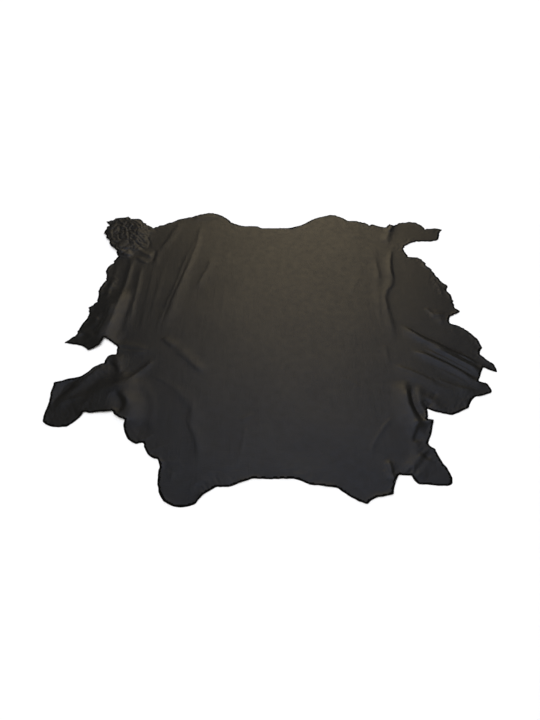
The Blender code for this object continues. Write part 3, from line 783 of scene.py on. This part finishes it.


# Smoother where it has been handled, rougher beside the cut and in the crumpled shank, where shade is painted
def grainRoughness(tree, mottle, rubbed, shadeAndDullness):
    mottledRoughness = addNode(
        tree, "ShaderNodeMapRange",
        {
            "From Min": leather["mottleLevels"][0], "From Max": leather["mottleLevels"][1],
            "To Min": leather["roughness"] - leather["unevenness"],
            "To Max": leather["roughness"] + leather["unevenness"],
        },
        {"Value": mottle},
    ).outputs["Result"]
    roughness = addNode(
        tree, "ShaderNodeMath", {1: -leather["polish"]}, {0: rubbed, 2: mottledRoughness},
        operation="MULTIPLY_ADD",
    ).outputs[0]
    return addNode(
        tree, "ShaderNodeMath", {1: leather["dullness"]}, {0: shadeAndDullness, 2: roughness}, operation="MULTIPLY_ADD"
    ).outputs[0]


# The neck's growth wrinkles run across it, and the streaks run along the backbone
def grainRelief(tree, place, mottle):
    crosswise = addNode(
        tree, "ShaderNodeMapping", {"Scale": (1.0 / leather["wrinkleLength"], 1.0, 1.0)}, {"Vector": place}
    ).outputs["Vector"]
    wrinkles = addNode(
        tree, "ShaderNodeTexNoise",
        {"Scale": perMetre(leather["wrinkles"]), "Detail": 2.0, "Distortion": leather["waviness"]},
        {"Vector": crosswise},
    ).outputs["Fac"]
    along = addNode(tree, "ShaderNodeSeparateXYZ", links={0: place}).outputs["Y"]
    neckShare = addNode(
        tree, "ShaderNodeMapRange",
        {"From Min": leather["neckReach"][0], "From Max": leather["neckReach"][1]}, {"Value": along},
    ).outputs["Result"]
    neckBump = addNode(
        tree, "ShaderNodeBump", {"Distance": leather["wrinkleDepth"] * mm},
        {"Height": wrinkles, "Strength": neckShare},
    ).outputs["Normal"]
    lengthwise = addNode(
        tree, "ShaderNodeMapping", {"Scale": (1.0, 1.0 / leather["streakLength"], 1.0)}, {"Vector": place}
    ).outputs["Vector"]
    streaks = addNode(
        tree, "ShaderNodeTexNoise",
        {"Scale": perMetre(leather["streaks"]), "Detail": 3.0, "Distortion": leather["waviness"]},
        {"Vector": lengthwise},
    ).outputs["Fac"]
    patches = addNode(
        tree, "ShaderNodeTexNoise", {"Scale": perMetre(leather["streakPatches"]), "Detail": 1.0},
        {"Vector": place},
    ).outputs["Fac"]
    streakShare = addNode(
        tree, "ShaderNodeMapRange",
        {
            "From Min": leather["mottleLevels"][0], "From Max": leather["mottleLevels"][1],
            "To Min": leather["streakLeast"],
        },
        {"Value": patches},
    ).outputs["Result"]
    streakBump = addNode(
        tree, "ShaderNodeBump", {"Distance": leather["streakDepth"] * mm},
        {"Height": streaks, "Strength": streakShare, "Normal": neckBump},
    ).outputs["Normal"]
    grain = addNode(
        tree, "ShaderNodeTexVoronoi", {"Scale": perMetre(leather["grain"])}, {"Vector": place},
        feature="SMOOTH_F1",
    ).outputs["Distance"]
    pores = addNode(
        tree, "ShaderNodeTexNoise", {"Scale": perMetre(leather["pores"]), "Detail": 2.0}, {"Vector": place}
    ).outputs["Fac"]
    pebbles = addNode(
        tree, "ShaderNodeMath", links={0: grain, 1: pores, 2: mottle}, operation="MULTIPLY_ADD"
    ).outputs[0]
    return addNode(
        tree, "ShaderNodeBump", {"Distance": leather["grainDepth"] * mm},
        {"Height": pebbles, "Normal": streakBump}, invert=True,
    ).outputs["Normal"]


def grainLeather():
    material, tree, shader = newMaterial("full grain leather", {"IOR": leather["ior"]})
    place = addNode(tree, "ShaderNodeTexCoord").outputs["Object"]
    mottle = addNode(
        tree, "ShaderNodeTexNoise", {"Scale": perMetre(leather["mottle"]), "Detail": 5.0}, {"Vector": place}
    ).outputs["Fac"]
    rubbed = addNode(tree, "ShaderNodeAttribute", attribute_name="rubbed").outputs["Fac"]
    shadeAndDullness = addNode(tree, "ShaderNodeAttribute", attribute_name="shadeAndDullness").outputs["Fac"]
    tree.links.new(grainColour(tree, place, mottle, rubbed, shadeAndDullness), shader.inputs["Base Color"])
    tree.links.new(grainRoughness(tree, mottle, rubbed, shadeAndDullness), shader.inputs["Roughness"])
    tree.links.new(grainRelief(tree, place, mottle), shader.inputs["Normal"])
    return material


# The cut edge: packed fibres, dyed through but unfinished, so it is matt and a little browner
cutEdge = {
    "colour": "#211d1a",
    "fibreColour": "#2e2823",
    "roughness": 0.8,
    "fibre": 2.0,  # mm; real fibre bundles are 0.1 mm, drawn coarser so that they show
}


def cutLeather():
    material, tree, shader = newMaterial("cut leather edge", {"Roughness": cutEdge["roughness"]})
    place = addNode(tree, "ShaderNodeTexCoord").outputs["Object"]
    fibre = addNode(
        tree, "ShaderNodeTexNoise", {"Scale": perMetre(cutEdge["fibre"]), "Detail": 3.0}, {"Vector": place}
    ).outputs["Fac"]
    colour = addNode(
        tree, "ShaderNodeMix", {6: hexColour(cutEdge["colour"]), 7: hexColour(cutEdge["fibreColour"])},
        {0: fibre}, data_type="RGBA",
    ).outputs[2]
    tree.links.new(colour, shader.inputs["Base Color"])
    return material


# The last millimetres of the grain side, painted black as the shade along the cut, matt and with little gloss
edgeShadeRim = {
    "colour": "#070706",
    "roughness": 0.85,
    "gloss": 0.12,
}


# A black, matt material that paints the shade along the cut
def edgeShadeLeather():
    material, _, _ = newMaterial("leather rim painted in shade", {
        "Base Color": hexColour(edgeShadeRim["colour"]),
        "Roughness": edgeShadeRim["roughness"],
        "Specular IOR Level": edgeShadeRim["gloss"],
    })
    return material


# The flesh side: shaved and loosely napped, so it is greyer, has no sheen and shows short fibres
fleshSide = {
    "colour": "#2b2623",
    "nap": "#3b342f",
    "roughness": 0.95,
    "fibre": 4.0,  # mm; real nap is 0.5 mm, drawn coarser so that it shows
    "clouds": 90.0,  # mm
    "raggedness": 0.7,  # how much of it is fine fibre
    "napDepth": 0.3,  # mm
    "levels": (0.7, 1.3),  # of fibre and clouds together, where the nap starts to show and where it covers
}


def fleshLeather():
    material, tree, shader = newMaterial("napped flesh side", {"Roughness": fleshSide["roughness"]})
    place = addNode(tree, "ShaderNodeTexCoord").outputs["Object"]
    fibre = addNode(
        tree, "ShaderNodeTexNoise",
        {"Scale": perMetre(fleshSide["fibre"]), "Detail": 4.0, "Roughness": fleshSide["raggedness"]},
        {"Vector": place},
    ).outputs["Fac"]
    clouds = addNode(
        tree, "ShaderNodeTexNoise", {"Scale": perMetre(fleshSide["clouds"]), "Detail": 3.0}, {"Vector": place}
    ).outputs["Fac"]
    together = addNode(tree, "ShaderNodeMath", links={0: fibre, 1: clouds}, operation="ADD").outputs[0]
    napShare = addNode(
        tree, "ShaderNodeMapRange",
        {"From Min": fleshSide["levels"][0], "From Max": fleshSide["levels"][1]}, {"Value": together},
    ).outputs["Result"]
    colour = addNode(
        tree, "ShaderNodeMix", {6: hexColour(fleshSide["colour"]), 7: hexColour(fleshSide["nap"])},
        {0: napShare}, data_type="RGBA",
    ).outputs[2]
    tree.links.new(colour, shader.inputs["Base Color"])
    bump = addNode(
        tree, "ShaderNodeBump", {"Distance": fleshSide["napDepth"] * mm}, {"Height": fibre}
    ).outputs["Normal"]
    tree.links.new(bump, shader.inputs["Normal"])
    return material


sheet = makeSheet()
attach(sheet, "root")
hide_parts("hide")
print("hide laid")

# The floor: matt white paint, which gives a plain pale ground

floor = {
    "colour": "#f8f8f8",
    "roughness": 1.0,
    "size": 80.0,  # metres
    "gap": 0.3,  # mm below the hide
}


def makeFloor():
    material, _, _ = newMaterial(
        "matt white paint", {"Base Color": hexColour(floor["colour"]), "Roughness": floor["roughness"]}
    )
    half = floor["size"] / 2.0
    level = -floor["gap"] * mm
    mesh = bpy.data.meshes.new("floor")
    corners = [(-half, -half, level), (half, -half, level), (half, half, level), (-half, half, level)]
    mesh.from_pydata(corners, [], [(0, 1, 2, 3)])
    mesh.materials.append(material)
    obj = bpy.data.objects.new("floor", mesh)
    bpy.context.scene.collection.objects.link(obj)


makeFloor()

# The light

# A wide overhead fill, which whitens the floor and gives the leather its soft shade but no gloss
sun = {
    "strength": 3.1,
    "softness": 70.0,  # degrees across
    "tilt": (22.0, -10.0),  # degrees: from behind the camera, a little from the left
    "colour": "#ffffff",
}

# Soft panels. The camera sees the first two in the leather's sheen; the others give it a sheen from
# the other sides. Columns: place, width and height (m), radiance, colour
panels = {
    "far window": ((0.9, 14.0, 8.5), 6.2, 8.6, 1.8, "#ffe9be"),
    "overhead": ((1.0, 6.5, 13.5), 9.4, 8.0, 1.14, "#d0dcff"),
    "near window": ((0.0, -14.0, 6.5), 8.0, 6.0, 1.2, "#fff4e0"),
    "left window": ((-14.0, -5.0, 6.5), 6.0, 6.0, 1.0, "#f4f6ff"),
    "right window": ((14.0, -5.0, 6.5), 6.0, 6.0, 1.0, "#f4f6ff"),
}

world = {
    "light": "#f0f3ff",  # what lights the hide from all round
    "strength": 0.035,
    "backdrop": "#f2f1ef",  # what shows above the floor
}


def makeLight():
    data = bpy.data.lights.new("sun", "SUN")
    data.energy = sun["strength"]
    data.angle = math.radians(sun["softness"])
    data.color = hexColour(sun["colour"])[:3]
    obj = bpy.data.objects.new("sun", data)
    obj.rotation_euler = [math.radians(angle) for angle in (*sun["tilt"], 0.0)]
    obj.visible_glossy = False
    bpy.context.scene.collection.objects.link(obj)

    for name, (place, width, height, radiance, colour) in panels.items():
        data = bpy.data.lights.new(name, "AREA")
        data.shape = "RECTANGLE"
        data.size = width
        data.size_y = height
        data.energy = radiance * math.pi * width * height
        data.color = hexColour(colour)[:3]
        obj = bpy.data.objects.new(name, data)
        obj.location = place
        obj.rotation_euler = (-Vector(place)).to_track_quat("-Z", "Y").to_euler()
        bpy.context.scene.collection.objects.link(obj)


def makeWorld():
    room = bpy.data.worlds.new("room")
    room.use_nodes = True
    tree = room.node_tree
    light = tree.nodes["Background"]
    light.inputs["Color"].default_value = hexColour(world["light"])
    light.inputs["Strength"].default_value = world["strength"]
    backdrop = addNode(tree, "ShaderNodeBackground", {"Color": hexColour(world["backdrop"])})
    seen = addNode(tree, "ShaderNodeLightPath").outputs["Is Camera Ray"]
    both = addNode(
        tree, "ShaderNodeMixShader",
        links={0: seen, 1: light.outputs["Background"], 2: backdrop.outputs["Background"]},
    )
    tree.links.new(both.outputs["Shader"], tree.nodes["World Output"].inputs["Surface"])
    bpy.context.scene.world = room


makeLight()
makeWorld()
bpy.context.scene.view_settings.view_transform = "Standard"
print("floor and light set")
